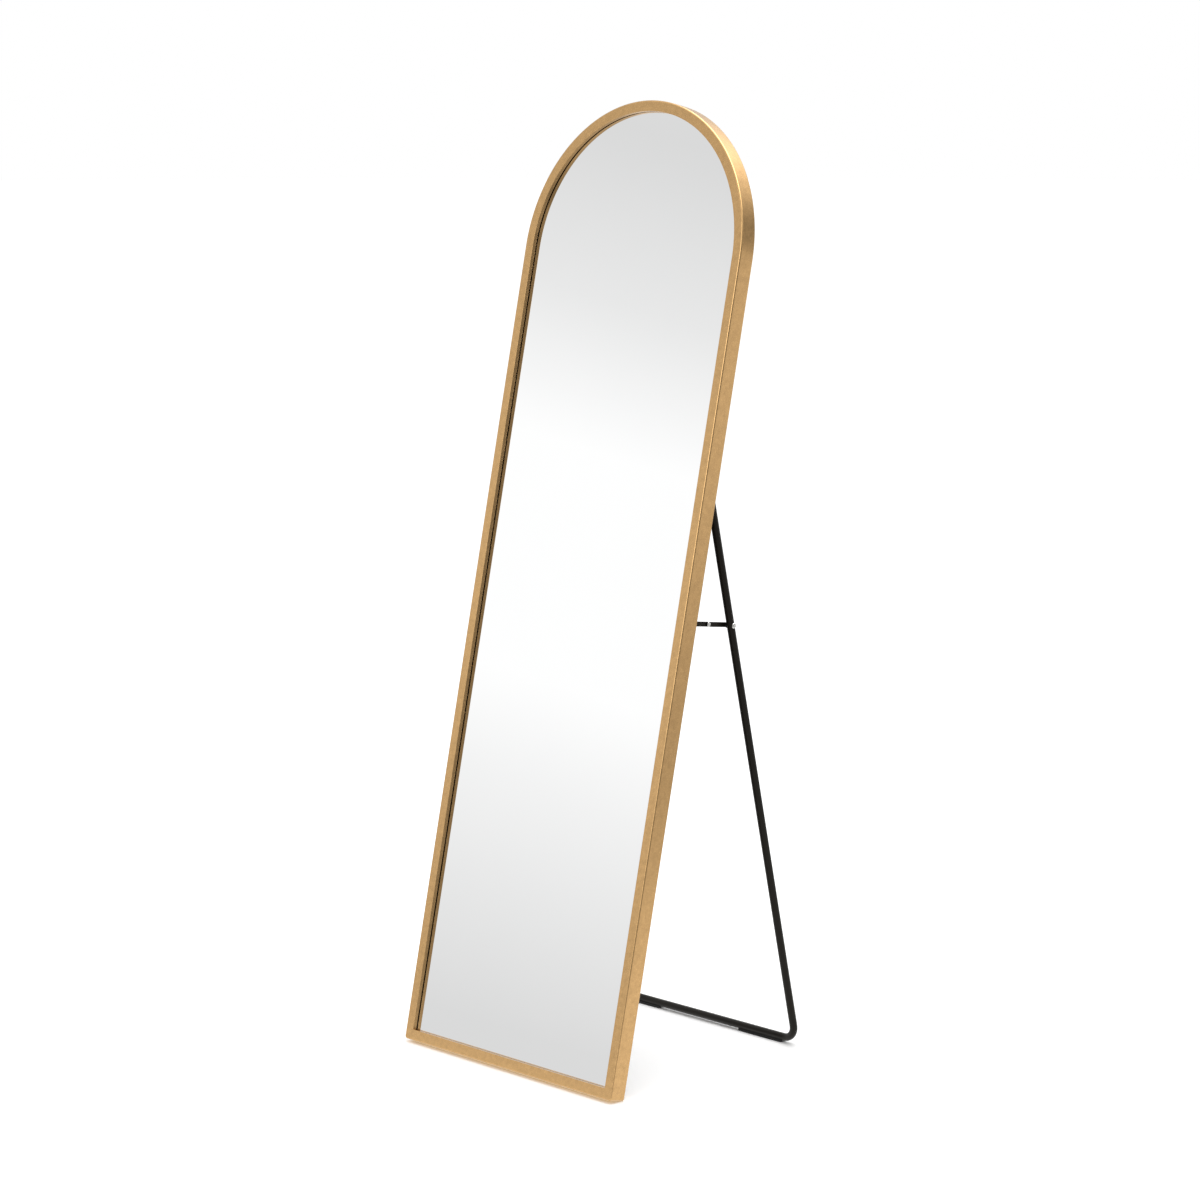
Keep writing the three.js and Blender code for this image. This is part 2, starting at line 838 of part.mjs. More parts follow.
place( stand, 'u_stand', standTube(), blackCoating );
placePair( stand, 'tube_plug', tubePlug(), nylon );
placePair( stand, 'foot_pad', footPad(), rubber );
placePair( stand, 'leg_rivet', legRivet().translate( 0, 0, - stayDrop ), zincPlate );
placePair( stand, 'leg_washer', legWasher().translate( 0, 0, - stayDrop ), nylon );

const stayUpper = new THREE.Group();
stayUpper.position.set( 0, hingeSetback, stayHeight );
stayUpper.rotation.x = stayAngle;
frame.add( stayUpper );

const stayLower = new THREE.Group();
stayLower.position.set( 0, frameLinkLength, 0 );
stayUpper.add( stayLower );

placePair( stayUpper, 'frame_link', stayLink( frameLinkLength, frameLinkFace ), blackCoating );
placePair( stayUpper, 'knuckle_rivet', knuckleRivet().translate( 0, frameLinkLength, 0 ), zincPlate );
placePair( stayLower, 'leg_link', stayLink( legLinkLength, legLinkFace ), blackCoating );

export default mirrorAssembly;
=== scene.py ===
import json
import math

import bmesh
import bpy
from mathutils import Matrix, Vector


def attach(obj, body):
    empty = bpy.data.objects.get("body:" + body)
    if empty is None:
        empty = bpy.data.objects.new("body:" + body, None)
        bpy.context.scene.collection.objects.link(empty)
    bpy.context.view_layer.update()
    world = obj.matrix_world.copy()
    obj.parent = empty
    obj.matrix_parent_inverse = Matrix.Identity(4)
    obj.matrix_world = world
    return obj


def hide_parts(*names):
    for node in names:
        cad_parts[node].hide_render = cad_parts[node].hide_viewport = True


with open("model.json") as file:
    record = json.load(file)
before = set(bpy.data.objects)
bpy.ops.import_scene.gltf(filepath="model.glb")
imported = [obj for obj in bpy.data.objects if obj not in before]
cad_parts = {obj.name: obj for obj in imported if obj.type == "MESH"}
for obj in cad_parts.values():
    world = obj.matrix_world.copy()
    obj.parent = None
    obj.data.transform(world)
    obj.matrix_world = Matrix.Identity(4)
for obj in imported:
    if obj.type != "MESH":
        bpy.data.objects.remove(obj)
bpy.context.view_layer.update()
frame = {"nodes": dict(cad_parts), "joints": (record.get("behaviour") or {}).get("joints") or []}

# ---------------------------------------------------------------- viewpoint and studio
# The viewpoint stands 5.6 m off to the front right, a little above the mirror's own height,
# and looks slightly down. The studio is a white floor under a pale sky with soft light from above.
bpy.ops.object.camera_add(
    location=(4.0585, -3.9153, 1.6489),
    rotation=(math.radians(81.006), 0, math.radians(46.143)),
)
viewpoint = bpy.context.object
viewpoint.name = "viewpoint"
viewpoint.data.sensor_width = 36
viewpoint.data.lens = 104.01
viewpoint.data.clip_end = 200
bpy.context.scene.camera = viewpoint
bpy.context.scene.view_settings.view_transform = "Standard"


def node(tree, kind, settings=None, inputs=None):
    """Adds a shader node and fills in its settings and its inputs; a socket given as input is linked."""
    made = tree.nodes.new("ShaderNode" + kind)
    for key, value in (settings or {}).items():
        setattr(made, key, value)
    for key, value in (inputs or {}).items():
        if isinstance(value, bpy.types.NodeSocket):
            tree.links.new(value, made.inputs[key])
        else:
            made.inputs[key].default_value = value
    return made


def grey_ramp(tree, value, start, end, brightest, stops):
    """Greys over a value that runs from start to end; each stop is a value and its level."""
    reach = node(tree, "MapRange", inputs={"Value": value, "From Min": start, "From Max": end})
    ramp = node(tree, "ValToRGB", inputs={"Fac": reach.outputs["Result"]})
    elements = ramp.color_ramp.elements
    elements.remove(elements[-1])
    for number, (at, level) in enumerate(stops):
        place, shade = (at - start) / (end - start), level / brightest
        stop = elements[0] if number == 0 else elements.new(place)
        stop.position = place
        stop.color = (shade, shade, shade, 1)
    return ramp.outputs["Color"]


def studio_sky():
    """A sky that is plain white behind the object and even in its light, with shades for gloss."""
    world = bpy.data.worlds.new("studio_sky")
    world.use_nodes = True
    world.cycles.sampling_method = "NONE"
    tree = world.node_tree
    tree.nodes.clear()
    direction = node(tree, "TexCoord").outputs["Generated"]
    split = node(tree, "SeparateXYZ", inputs={0: direction})
    rise = node(tree, "Math", {"operation": "ARCSINE"}, {0: split.outputs["Z"]})
    height = node(tree, "Math", {"operation": "DEGREES"}, {0: rise.outputs[0]}).outputs[0]
    turn = node(tree, "Math", {"operation": "ARCTAN2"}, {0: split.outputs["Y"], 1: split.outputs["X"]})
    bearing = node(tree, "Math", {"operation": "DEGREES"}, {0: turn.outputs[0]}).outputs[0]

    # Height above the horizon in degrees, and how bright the studio is there, on each side of it:
    # the left front that the glass shows, a soft panel ahead, the unlit camera side, the right
    # back with a dark gap over its floor, the back with its soft roof, and the dim left back.
    lowest, highest, brightest = -20, 70, 4
    sides = [grey_ramp(tree, height, lowest, highest, brightest, stops) for stops in (
        [(-20, 0.80), (-4, 0.74), (0.65, 0.72), (2.4, 0.81), (4.75, 0.93), (6.3, 1.03), (10.3, 1.03),
         (12.6, 0.84), (15.4, 0.72), (22, 0.8), (32, 1.2), (70, 1.4)],
        [(-20, 0.7), (4, 0.7), (9, 1.3), (14, 3.0), (18, 2.8), (25, 1.2), (35, 0.9), (60, 0.9)],
        [(-20, 0.5), (0, 0.45), (3, 0.36), (8, 0.28), (15, 0.28), (22, 0.5), (34, 1.0), (60, 1.2)],
        [(-20, 1.0), (-4, 1.05), (0, 0.78), (3, 0.52), (6, 0.42), (14, 0.38), (19, 0.5), (23, 0.75),
         (27, 1.05), (33, 1.2), (37, 1.8), (41, 4.0), (52, 4.0), (70, 2.5)],
        [(-20, 0.8), (0, 0.8), (12, 0.7), (19, 0.8), (25, 1.1), (31, 1.3), (36, 2.8), (41, 4.0),
         (60, 4.0), (70, 2.5)],
        [(-20, 0.8), (10, 0.8), (25, 0.6), (45, 0.4), (70, 0.6)],
    )]
    # Each side gives way to the next one between two bearings, in degrees from the right.
    sky = sides[0]
    passages = ((-120, -104), (-72, -56), (-18, 10), (58, 92), (132, 158))
    for (start, end), side in zip(passages, sides[1:]):
        passed = node(tree, "MapRange", {"interpolation_type": "SMOOTHSTEP"}, {
            "Value": bearing, "From Min": start, "From Max": end,
        })
        sky = node(tree, "Mix", {"data_type": "RGBA"}, {
            "Factor": passed.outputs["Result"], "A": sky, "B": side,
        }).outputs["Result"]
    path = node(tree, "LightPath")
    even = node(tree, "Background", inputs={"Color": (1, 1, 1, 1), "Strength": 1})
    gloss = node(tree, "Background", inputs={"Color": sky, "Strength": brightest})
    both = node(tree, "MixShader", inputs={
        0: path.outputs["Is Glossy Ray"], 1: even.outputs[0], 2: gloss.outputs[0],
    })
    node(tree, "OutputWorld", inputs={"Surface": both.outputs[0]})
    return world


bpy.context.scene.world = studio_sky()

floor_radius = 40
bpy.ops.mesh.primitive_circle_add(vertices=96, radius=floor_radius, fill_type="NGON")
floor = bpy.context.object
floor.name = "floor"
floor_paint = bpy.data.materials.new("floor_paint")
floor_paint.use_nodes = True
tree = floor_paint.node_tree
tree.nodes.clear()
path = node(tree, "LightPath")
place = node(tree, "TexCoord").outputs["Object"]
# The floor is over-exposed to white, and it throws back a little less light than it shows.
over_exposed = (1.15, 1.15, 1.15, 1)
speckle = node(tree, "TexNoise", inputs={"Vector": place, "Scale": 40.0})
tone = node(tree, "MapRange", inputs={"Value": speckle.outputs["Fac"], "To Min": 0.78, "To Max": 0.82})
pale = node(tree, "Mix", {"data_type": "RGBA"}, {
    "Factor": path.outputs["Is Camera Ray"], "A": tone.outputs["Result"], "B": over_exposed,
})
matt = node(tree, "BsdfDiffuse", inputs={"Color": pale.outputs["Result"]})
# What gloss shows of the floor, in rings of so many metres: bright close by, duller some metres
# off, bright again far away. Towards the unlit camera side it soon falls to two fifths of that.
far = node(tree, "VectorMath", {"operation": "LENGTH"}, {0: place}).outputs["Value"]
brightest = 1.5
rings = grey_ramp(tree, far, 0, floor_radius, brightest, (
    (0.6, 1.12), (1.2, 1.03), (2.2, 0.66), (4.0, 0.71), (7.5, 1.03), (15, 1.25), (22, 1.1), (39, 0.7),
))
to_camera_side = (0.74, -0.67, 0)
ahead = node(tree, "VectorMath", {"operation": "DOT_PRODUCT"}, {0: place, 1: to_camera_side})
dimmed = node(tree, "MapRange", inputs={
    "Value": ahead.outputs["Value"],
    "From Min": 0.3, "From Max": 4, "To Min": brightest, "To Max": brightest * 0.4,
})
glow = node(tree, "Emission", inputs={"Color": rings, "Strength": dimmed.outputs["Result"]})
floor_look = node(tree, "MixShader", inputs={
    0: path.outputs["Is Glossy Ray"], 1: matt.outputs[0], 2: glow.outputs[0],
})
node(tree, "OutputMaterial", inputs={"Surface": floor_look.outputs[0]})
floor.data.materials.append(floor_paint)

bpy.ops.object.light_add(type="AREA", location=(0.4, 0.9, 4.6))
softbox = bpy.context.object
softbox.name = "softbox"
softbox.data.size = 4.0
softbox.data.energy = 70
softbox.rotation_euler = (math.radians(-10), 0, 0)

# ---------------------------------------------------------------- gold frame
# An extruded aluminium section, 18 mm across its face and 31 mm deep, with a lip over the glass.
# It is bent for the arch, mitred and welded at the two bottom corners, brushed and anodised gold.
lean = math.radians(12.1)
frame_foot = Vector((0, -0.232427, 0.0059886))
half_width = 0.25
spring_height = 1.35
frame_depth = 0.031
face_width = 0.018
lip_depth = 0.007
web_width = 0.009
corner_radius = 0.005
outer_edge_radius = 0.0025
lip_edge_radius = 0.0005
lip_back_radius = 0.0004
rebate_edge_radius = 0.0007
cut_past = 0.01
seam = 0.00003
joint_gap = 0.0001
hair = 1e-5
gold = (0.615, 0.382, 0.168, 1)


def only(piece):
    """Selects one piece and nothing else."""
    bpy.ops.object.select_all(action="DESELECT")
    piece.select_set(True)
    bpy.context.view_layer.objects.active = piece


def block(name, low, high):
    """A block between two opposite corners."""
    bpy.ops.object.select_all(action="DESELECT")
    bpy.ops.mesh.primitive_cube_add(size=1, location=[(a + b) / 2 for a, b in zip(low, high)])
    piece = bpy.context.object
    piece.name = name
    piece.scale = [b - a for a, b in zip(low, high)]
    bpy.ops.object.transform_apply(location=True, rotation=True, scale=True)
    return piece


def carve(piece, tool):
    """Cuts the tool's shape out of a piece and throws the tool away."""
    cutter = piece.modifiers.new("carve", "BOOLEAN")
    cutter.operation = "DIFFERENCE"
    cutter.solver = "EXACT"
    cutter.object = tool
    only(piece)
    bpy.ops.object.modifier_apply(modifier="carve")
    bpy.data.objects.remove(tool)


def choose_edges(piece, test):
    """In edit mode, selects the edges whose two ends pass a test."""
    bpy.ops.mesh.select_all(action="DESELECT")
    bpy.ops.mesh.select_mode(type="EDGE")
    mesh = bmesh.from_edit_mesh(piece.data)
    for edge in mesh.edges:
        if test(edge.verts[0].co, edge.verts[1].co):
            edge.select_set(True)
    bmesh.update_edit_mesh(piece.data)


def choose_faces(piece, test):
    """In edit mode, selects the faces whose middle and normal pass a test."""
    bpy.ops.mesh.select_all(action="DESELECT")
    bpy.ops.mesh.select_mode(type="FACE")
    mesh = bmesh.from_edit_mesh(piece.data)
    for face in mesh.faces:
        if test(face.calc_center_median(), face.normal):
            face.select_set(True)
    bmesh.update_edit_mesh(piece.data)


def round_edges(piece, test, radius, segments):
    """Rounds the edges that pass a test."""
    only(piece)
    bpy.ops.object.mode_set(mode="EDIT")
    choose_edges(piece, test)
    bpy.ops.mesh.bevel(
        offset=radius, offset_type="OFFSET", segments=segments, affect="EDGES", clamp_overlap=False,
    )
    bpy.ops.object.mode_set(mode="OBJECT")


def trim(piece, point, away):
    """Saws off what lies on the far side of a plane and closes the cut."""
    only(piece)
    bpy.ops.object.mode_set(mode="EDIT")
    bpy.ops.mesh.select_all(action="SELECT")
    bpy.ops.mesh.bisect(
        plane_co=point, plane_no=away, use_fill=True, clear_outer=True, threshold=0.000001,
    )
    bpy.ops.object.mode_set(mode="OBJECT")


def copy_of(piece, name):
    """A copy with its own mesh."""
    twin = piece.copy()
    twin.data = piece.data.copy()
    twin.name = name
    bpy.context.collection.objects.link(twin)
    return twin


def outward(piece):
    """Closes doubled points and turns every face outwards."""
    only(piece)
    bpy.ops.object.mode_set(mode="EDIT")
    bpy.ops.mesh.select_all(action="SELECT")
    bpy.ops.mesh.remove_doubles(threshold=0.000002)
    bpy.ops.mesh.normals_make_consistent(inside=False)
    bpy.ops.object.mode_set(mode="OBJECT")


def smooth(piece, angle=35):
    """Smooths the rounded edges and keeps the flats flat."""
    only(piece)
    bpy.ops.object.shade_smooth_by_angle(angle=math.radians(angle))
    weights = piece.modifiers.new("even_normals", "WEIGHTED_NORMAL")
    weights.keep_sharp = True
    bpy.ops.object.modifier_apply(modifier="even_normals")


def lean_back(piece):
    """Leans a piece that was drawn upright back with the frame, and rides it there."""
    only(piece)
    piece.rotation_euler = (-lean, 0, 0)
    piece.location = frame_foot
    bpy.ops.object.transform_apply(location=True, rotation=True, scale=True)
    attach(piece, "frame")


def meets(a, b):
    """Whether two lengths are the same, to a hundredth of a millimetre."""
    return abs(a - b) < hair


def on_outline(v, y):
    """Whether a point lies on the outer outline of the straight rails at a given depth."""
    past_side, past_foot = abs(v.x) - half_width + corner_radius, corner_radius - v.z
    in_corner = past_side > -hair and past_foot > -hair
    on_corner = in_corner and math.hypot(past_side, past_foot) > corner_radius - 10 * hair
    return meets(v.y, y) and (meets(abs(v.x), half_width) or meets(v.z, 0) or on_corner)


def opening_edge(x, z, y):
    """A test for the edges of an opening that is open at the top."""
    def on_edge(v):
        at_side = meets(abs(v.x), x) and v.z > z - hair
        at_foot = meets(v.z, z) and abs(v.x) < x + hair
        return meets(v.y, y) and (at_side or at_foot)

    return lambda a, b: on_edge(a) and on_edge(b)


def at_corner(a, b):
    """Whether an edge runs through the frame's depth at one of its two bottom corners."""
    return meets(a.x, b.x) and all(meets(abs(v.x), half_width) and meets(v.z, 0) for v in (a, b))


rails = block("straight_rails", (-half_width, 0, 0), (half_width, frame_depth, spring_height))
inner, web = half_width - face_width, half_width - web_width
back, top = frame_depth + cut_past, spring_height + cut_past
carve(rails, block("opening", (-inner, -cut_past, face_width), (inner, back, top)))
carve(rails, block("rebate", (-web, lip_depth, web_width), (web, back, top)))
round_edges(rails, at_corner, corner_radius, 10)
round_edges(
    rails,
    lambda a, b: any(on_outline(a, y) and on_outline(b, y) for y in (0, frame_depth)),
    outer_edge_radius, 6,
)
round_edges(rails, opening_edge(inner, face_width, 0), lip_edge_radius, 4)
round_edges(rails, opening_edge(web, web_width, frame_depth), rebate_edge_radius, 2)
round_edges(rails, opening_edge(inner, face_width, lip_depth), lip_back_radius, 2)

right_rail = copy_of(rails, "gold_rail_right")
trim(right_rail, (0, 0, 0), (-1, 0, 0))
trim(right_rail, (half_width + seam, 0, 0), (-1, 0, -1))

# The arch starts as the sawn top end of the right rail, turned round through half a circle.
arch = copy_of(right_rail, "gold_arch")
only(arch)
bpy.ops.object.mode_set(mode="EDIT")
choose_faces(arch, lambda c, n: n.z < 0.99 or not meets(c.z, spring_height))
bpy.ops.mesh.delete(type="FACE")
bpy.ops.mesh.select_all(action="SELECT")
bpy.ops.mesh.spin(
    steps=120, angle=math.pi, use_auto_merge=False,
    center=(0, 0, spring_height), axis=(0, 1, 0),
)
bpy.ops.object.mode_set(mode="OBJECT")
outward(arch)

trim(right_rail, (0, 0, spring_height - joint_gap), (0, 0, 1))
left_rail = copy_of(rails, "gold_rail_left")
trim(left_rail, (0, 0, 0), (1, 0, 0))
trim(left_rail, (-half_width - seam, 0, 0), (1, 0, -1))
trim(left_rail, (0, 0, spring_height - joint_gap), (0, 0, 1))
bottom_rail = copy_of(rails, "gold_rail_bottom")
trim(bottom_rail, (half_width - seam, 0, 0), (1, 0, 1))
trim(bottom_rail, (-half_width + seam, 0, 0), (-1, 0, 1))
bpy.data.objects.remove(rails)


def lay_grain(piece):
    """Unrolls the piece so that u runs along the section and v across it, both in metres."""
    sheet = piece.data.uv_layers.new(name="grain")
    for polygon in piece.data.polygons:
        middle = polygon.center
        along_foot = middle.z < half_width - abs(middle.x) and middle.z < spring_height
        for loop in polygon.loop_indices:
            x, y, z = piece.data.vertices[piece.data.loops[loop].vertex_index].co
            if middle.z > spring_height:
                turn = math.atan2(z - spring_height, x)
                if turn < -1:
                    turn += 2 * math.pi
                along = spring_height + half_width * turn
                inset = half_width - math.hypot(x, z - spring_height)
            elif along_foot:
                along, inset = x, z
            else:
                along, inset = z, half_width - abs(x)
            sheet.data[loop].uv = (along, inset - y)


def metal_grain_group():
    """Shared by all bare metals: fine drawn lines one way, and slow blotches in tone."""
    group = bpy.data.node_groups.new("metal_grain", "ShaderNodeTree")
    for name, kind, default in (
        ("Place", "NodeSocketVector", None),
        ("Lines Stretch", "NodeSocketVector", (40, 2500, 1)),
        ("Tone Place", "NodeSocketVector", None),
        ("Tone Scale", "NodeSocketFloat", 90),
        ("Tone Amount", "NodeSocketFloat", 0.05),
        ("Metal", "NodeSocketColor", (0.8, 0.8, 0.8, 1)),
        ("Roughness", "NodeSocketFloat", 0.3),
        ("Roughness Swing", "NodeSocketFloat", 0.08),
    ):
        socket = group.interface.new_socket(name=name, in_out="INPUT", socket_type=kind)
        if default is not None:
            socket.default_value = default
    group.interface.new_socket(name="Color", in_out="OUTPUT", socket_type="NodeSocketColor")
    group.interface.new_socket(name="Roughness", in_out="OUTPUT", socket_type="NodeSocketFloat")
    group.interface.new_socket(name="Height", in_out="OUTPUT", socket_type="NodeSocketFloat")
    given = group.nodes.new("NodeGroupInput").outputs
    drawn = node(group, "VectorMath", {"operation": "MULTIPLY"}, {
        0: given["Place"], 1: given["Lines Stretch"],
    })
    lines = node(group, "TexNoise", inputs={"Vector": drawn.outputs[0], "Scale": 1.0, "Detail": 3.0})
    blotches = node(group, "TexNoise", inputs={
        "Vector": given["Tone Place"], "Scale": given["Tone Scale"], "Detail": 3.0, "Roughness": 0.6,
    })
    patches = node(group, "Math", {"operation": "SUBTRACT"}, {0: blotches.outputs["Fac"], 1: 0.5})
    spread = node(group, "Math", {"operation": "MULTIPLY"}, {0: given["Tone Amount"], 1: 2.0})
    tone = node(group, "Math", {"operation": "MULTIPLY_ADD"}, {
        0: patches.outputs[0], 1: spread.outputs[0], 2: 1.0,
    })
    coloured = node(group, "VectorMath", {"operation": "SCALE"}, {
        0: given["Metal"], "Scale": tone.outputs[0],
    })
    ridges = node(group, "Math", {"operation": "SUBTRACT"}, {0: lines.outputs["Fac"], 1: 0.5})
    rough = node(group, "Math", {"operation": "MULTIPLY_ADD"}, {
        0: ridges.outputs[0], 1: given["Roughness Swing"], 2: given["Roughness"],
    })
    result = group.nodes.new("NodeGroupOutput")
    group.links.new(coloured.outputs[0], result.inputs["Color"])
    group.links.new(rough.outputs[0], result.inputs["Roughness"])
    group.links.new(lines.outputs["Fac"], result.inputs["Height"])
    return group


metal_grain = metal_grain_group()


def metal(name, colour, roughness, uv=None, stretch=(300, 300, 300), tone_scale=90, tone_amount=0.05,
          swing=0.1, relief=0.000002):
    """A bare metal with drawn lines and blotches."""
    finish = bpy.data.materials.new(name)
    finish.use_nodes = True
    tree = finish.node_tree
    shader = tree.nodes["Principled BSDF"]
    place = node(tree, "TexCoord").outputs["Object"]
    lines_place = node(tree, "UVMap", {"uv_map": uv}).outputs["UV"] if uv else place
    grain = tree.nodes.new("ShaderNodeGroup")
    grain.node_tree = metal_grain
    tree.links.new(lines_place, grain.inputs["Place"])
    tree.links.new(place, grain.inputs["Tone Place"])
    grain.inputs["Lines Stretch"].default_value = stretch
    grain.inputs["Tone Scale"].default_value = tone_scale
    grain.inputs["Tone Amount"].default_value = tone_amount
    grain.inputs["Metal"].default_value = colour
    grain.inputs["Roughness"].default_value = roughness
    grain.inputs["Roughness Swing"].default_value = swing
    bump = node(tree, "Bump", inputs={
        "Height": grain.outputs["Height"], "Distance": relief, "Strength": 1.0,
    })
    tree.links.new(grain.outputs["Color"], shader.inputs["Base Color"])
    tree.links.new(grain.outputs["Roughness"], shader.inputs["Roughness"])
    tree.links.new(bump.outputs["Normal"], shader.inputs["Normal"])
    shader.inputs["Metallic"].default_value = 1
    return finish


brushed_gold = metal("brushed_gold", gold, 0.23, uv="grain", stretch=(60, 5000, 1),
                     tone_scale=130, tone_amount=0.22, swing=0.16)
gold_pieces = {
    arch: "frame_arch",
    right_rail: "frame_rail_right",
    left_rail: "frame_rail_left",
    bottom_rail: "frame_rail_bottom",
}
for piece, cad_name in gold_pieces.items():
    lay_grain(piece)
    piece.data.materials.clear()
    piece.data.materials.append(brushed_gold)
    smooth(piece)
    lean_back(piece)
    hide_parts(cad_name)

# ---------------------------------------------------------------- mirror pane, foam and board
# A 4 mm float glass pane, silvered on the back, drops into the rebate from behind.
# A foam sheet and a dark lacquered fibreboard follow it, each cut to the same arched outline.
pane_half = 0.24
pane_foot = 0.010
pane_faces = (0.0085, 0.0113)
board_faces = (0.0139, 0.0169)


def on_rim(a, b):
    """Whether an edge runs round the rim of a sheet's face; the two at its crown stay sharp."""
    in_arch = a.z > spring_height - hair and b.z > spring_height - hair and a.x != 0 and b.x != 0
    in_side_or_foot = meets(a.x, b.x) or meets(a.z, pane_foot)
    across = meets(a.z, spring_height) and meets(b.z, spring_height)
    return meets(a.y, b.y) and (in_arch or in_side_or_foot) and not across


def arched_sheet(name, faces, rim):
    """A sheet with a round top and square foot, with its rim eased on both faces."""
    front, back = faces
    bpy.ops.object.select_all(action="DESELECT")
    bpy.ops.mesh.primitive_cylinder_add(
        vertices=256, radius=pane_half, depth=back - front,
        location=(0, (front + back) / 2, spring_height), rotation=(math.pi / 2, 0, 0),
    )
    sheet = bpy.context.object
    sheet.name = name
    bpy.ops.object.transform_apply(location=True, rotation=True, scale=True)
    trim(sheet, (0, 0, spring_height), (0, 0, -1))
    bpy.ops.object.mode_set(mode="EDIT")
    choose_faces(sheet, lambda c, n: n.z < -0.99)
    bpy.ops.mesh.extrude_region_move(
        TRANSFORM_OT_translate={"value": (0, 0, pane_foot - spring_height)},
    )
    bpy.ops.object.mode_set(mode="OBJECT")
    outward(sheet)
    round_edges(sheet, on_rim, rim, 2)
    return sheet


pane = arched_sheet("mirror_pane", pane_faces, 0.0004)
silvering = bpy.data.materials.new("silvered_glass")
silvering.use_nodes = True
tree = silvering.node_tree
shader = tree.nodes["Principled BSDF"]
place = node(tree, "TexCoord").outputs["Object"]
haze = node(tree, "TexNoise", inputs={"Vector": place, "Scale": 5.0, "Detail": 5.0, "Roughness": 0.6})
tint = node(tree, "Mix", {"data_type": "RGBA"}, {
    "Factor": haze.outputs["Fac"], "A": (0.955, 0.960, 0.960, 1), "B": (0.975, 0.976, 0.975, 1),
})
wiped = node(tree, "MapRange", inputs={
    "Value": haze.outputs["Fac"], "From Min": 0.45, "From Max": 0.8, "To Min": 0.0, "To Max": 0.02,
})
tree.links.new(tint.outputs["Result"], shader.inputs["Base Color"])
tree.links.new(wiped.outputs["Result"], shader.inputs["Roughness"])
shader.inputs["Metallic"].default_value = 1
pane.data.materials.append(silvering)
smooth(pane, 20)
lean_back(pane)
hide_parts("mirror_glass")


def matt_board(name, colour, second, scale, relief, roughness):
    """A matt sheet material with a fine felted surface."""
    finish = bpy.data.materials.new(name)
    finish.use_nodes = True
    tree = finish.node_tree
    shader = tree.nodes["Principled BSDF"]
    place = node(tree, "TexCoord").outputs["Object"]
    fibres = node(tree, "TexNoise", inputs={
        "Vector": place, "Scale": scale, "Detail": 8.0, "Roughness": 0.7,
    })
    clouds = node(tree, "TexNoise", inputs={"Vector": place, "Scale": scale / 60, "Detail": 3.0})
    both = node(tree, "Math", {"operation": "MULTIPLY"}, {
        0: fibres.outputs["Fac"], 1: clouds.outputs["Fac"],
    })
    spread = node(tree, "MapRange", inputs={"Value": both.outputs[0], "From Min": 0.12, "From Max": 0.4})
    tint = node(tree, "Mix", {"data_type": "RGBA"}, {
        "Factor": spread.outputs["Result"], "A": colour, "B": second,
    })
    bump = node(tree, "Bump", inputs={
        "Height": fibres.outputs["Fac"], "Distance": relief, "Strength": 1.0,
    })
    sheen = node(tree, "MapRange", inputs={
        "Value": fibres.outputs["Fac"], "To Min": roughness - 0.08, "To Max": roughness + 0.08,
    })
    tree.links.new(tint.outputs["Result"], shader.inputs["Base Color"])
    tree.links.new(sheen.outputs["Result"], shader.inputs["Roughness"])
    tree.links.new(bump.outputs["Normal"], shader.inputs["Normal"])
    shader.inputs["Specular IOR Level"].default_value = 0.25
    return finish


board = arched_sheet("back_board", board_faces, 0.0005)
board.data.materials.append(matt_board(
    "lacquered_fibreboard", (0.040, 0.037, 0.033, 1), (0.075, 0.070, 0.063, 1),
    scale=1400, relief=0.00006, roughness=0.72,
))
smooth(board, 20)
lean_back(board)
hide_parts("backing_board")

foam_finish = matt_board(
    "foam", (0.70, 0.70, 0.68, 1), (0.84, 0.84, 0.82, 1), scale=900, relief=0.0002, roughness=0.9,
)
for slot in frame["nodes"]["foam_sheet"].material_slots:
    slot.material = foam_finish

# ---------------------------------------------------------------- keys inside the frame
# Cast aluminium keys sit in the hollow of the section, across the mitres and the arch's joints.
# They are pressed in before the frame is closed and don't show.
cast_metal = metal("cast_aluminium", (0.56, 0.57, 0.58, 1), 0.5, stretch=(500, 500, 500),
                   tone_scale=200, tone_amount=0.12, relief=0.00003)
for name in ("corner_key_right", "corner_key_left", "joiner_key_right", "joiner_key_left"):
    for slot in frame["nodes"][name].material_slots:
        slot.material = cast_metal

# ---------------------------------------------------------------- board clips and screws
# Eight clips of zinc-plated spring steel, bent to an L, press the board forward.
# A pan-head screw with a cross recess holds each one to the frame's inner wall.
hardware_seat = 0.0172
clip_seat = 0.240531
clip_sheet = 0.0012
clip_half = 0.009
clip_foot = 0.014
clip_rise = 0.011
arch_clip_turn = math.radians(52)
bottom_clip_x = 0.130
screw_head = 0.0022
screw_stand_off = 0.0003
stay_height = 0.765
hinge_height = 0.982


def fuse(pieces, name):
    """Joins several shells into one piece."""
    only(pieces[0])
    for piece in pieces:
        piece.select_set(True)
    bpy.ops.object.join()
    bpy.context.object.name = name
    return bpy.context.object


def ease(piece, width):
    """Takes the sharpness off every edge."""
    only(piece)
    easing = piece.modifiers.new("eased_edges", "BEVEL")
    easing.width = width
    easing.segments = 2
    easing.limit_method = "ANGLE"
    easing.angle_limit = math.radians(40)
    bpy.ops.object.modifier_apply(modifier="eased_edges")


